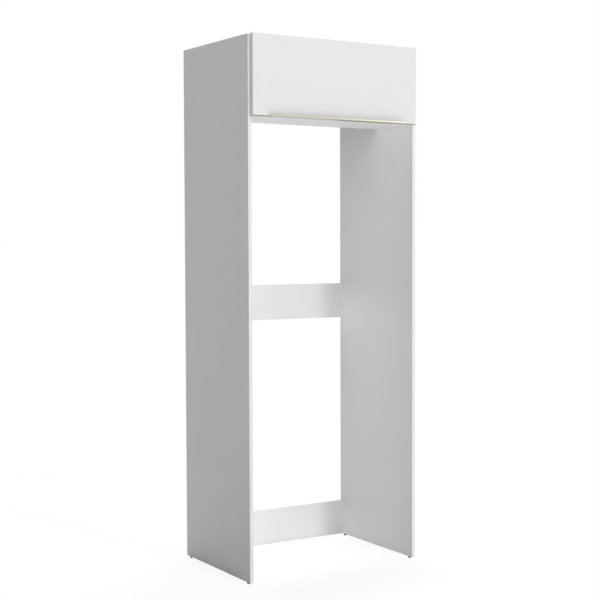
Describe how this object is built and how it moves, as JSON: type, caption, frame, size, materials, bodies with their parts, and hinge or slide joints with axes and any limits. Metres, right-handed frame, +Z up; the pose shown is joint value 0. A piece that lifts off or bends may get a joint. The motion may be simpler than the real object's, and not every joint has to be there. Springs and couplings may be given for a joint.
{
  "type": "fridge housing cabinet",
  "caption": "Tall white open bay for a free-standing fridge, with a shallow lift-up flap box across its top, a gold finger-pull lip, rear rails and small round feet.",
  "frame": {"origin": "on the floor under the feet, at the middle of the outer box from the handle's nose to the back", "axes": "+X to the right seen from the front, +Y from front to back, +Z up"},
  "size_m": [0.8, 0.627, 2.184],
  "materials": {
    "white_board": "white melamine-faced particle board, fine satin grain",
    "edge_tape": "white edge tape, satin",
    "back_board": "thin fibreboard, white lacquered face and brown core",
    "gold_aluminium": "satin gold anodised",
    "nickel_steel": "nickel-plated pressed steel",
    "zinc_screw": "zinc-plated steel",
    "zinc_cast": "dull zinc casting",
    "black_tube": "black powder coat",
    "chrome_rod": "polished",
    "dark_plastic": "moulded dark grey plastic",
    "beech": "fluted beech dowel",
    "soft_bumper": "translucent soft plastic"
  },
  "bodies": {
    "carcass": {"side_panel_left": "white_board", "side_panel_right": "white_board", "side_edge_band_left": "edge_tape", "side_edge_band_right": "edge_tape", "deck_panel": "white_board", "deck_edge_band": "edge_tape", "top_panel": "white_board", "top_edge_band": "edge_tape", "back_panel": "back_board", "mid_rail": "white_board", "lower_rail": "white_board", "rail_edge_bands": "edge_tape", "back_panel_nails": "zinc_screw", "cam_locks": "zinc_cast", "cam_bolts": "zinc_screw", "dowels": "beech", "foot_front_left": "dark_plastic", "foot_front_right": "dark_plastic", "foot_back_left": "dark_plastic", "foot_back_right": "dark_plastic", "hinge_arm_left": "nickel_steel", "hinge_arm_right": "nickel_steel", "hinge_plate_left": "nickel_steel", "hinge_plate_right": "nickel_steel", "hinge_plate_screws": "zinc_screw", "hinge_clamp_screws": "zinc_screw", "stay_side_bracket_left": "nickel_steel", "stay_side_bracket_right": "nickel_steel", "stay_side_bracket_screws": "zinc_screw", "wall_angle_left": "nickel_steel", "wall_angle_right": "nickel_steel", "wall_angle_screws": "zinc_screw"},
    "flap": {"flap_door": "white_board", "flap_edge_bands": "edge_tape", "flap_bumpers": "soft_bumper", "handle_profile": "gold_aluminium", "handle_screws": "zinc_screw", "hinge_cup_left": "nickel_steel", "hinge_cup_right": "nickel_steel", "hinge_pin_left": "nickel_steel", "hinge_pin_right": "nickel_steel", "hinge_cup_screws": "zinc_screw", "stay_door_bracket_left": "nickel_steel", "stay_door_bracket_right": "nickel_steel", "stay_door_bracket_screws": "zinc_screw"},
    "left_tube": {"stay_tube_left": "black_tube", "stay_guide_left": "dark_plastic", "stay_tube_eye_left": "dark_plastic"},
    "left_rod": {"stay_rod_left": "chrome_rod", "stay_rod_eye_left": "dark_plastic"},
    "right_tube": {"stay_tube_right": "black_tube", "stay_guide_right": "dark_plastic", "stay_tube_eye_right": "dark_plastic"},
    "right_rod": {"stay_rod_right": "chrome_rod", "stay_rod_eye_right": "dark_plastic"}
  },
  "joints": [
    {"name": "flap_hinge", "type": "hinge", "parent": "carcass", "child": "flap", "pos_m": [0, -0.2805, 2.177], "axis": [-1, 0, 0], "range_deg": [0, 85]},
    {"name": "left_stay_swing", "type": "hinge", "parent": "carcass", "child": "left_tube", "pos_m": [-0.37, -0.09305, 2.146], "axis": [-1, 0, 0], "range_deg": [0, 42.5]},
    {"name": "left_stay_fold", "type": "hinge", "parent": "flap", "child": "left_rod", "pos_m": [-0.37, -0.2575, 1.9884], "axis": [1, 0, 0], "range_deg": [0, 42.5]},
    {"name": "right_stay_swing", "type": "hinge", "parent": "carcass", "child": "right_tube", "pos_m": [0.37, -0.09305, 2.146], "axis": [-1, 0, 0], "range_deg": [0, 42.5]},
    {"name": "right_stay_fold", "type": "hinge", "parent": "flap", "child": "right_rod", "pos_m": [0.37, -0.2575, 1.9884], "axis": [1, 0, 0], "range_deg": [0, 42.5]}
  ],
  "couplings": [
    {"joint": "left_stay_swing", "follows": "flap_hinge", "ratio": 0.5},
    {"joint": "left_stay_fold", "follows": "flap_hinge", "ratio": 0.5},
    {"joint": "right_stay_swing", "follows": "flap_hinge", "ratio": 0.5},
    {"joint": "right_stay_fold", "follows": "flap_hinge", "ratio": 0.5}
  ]
}
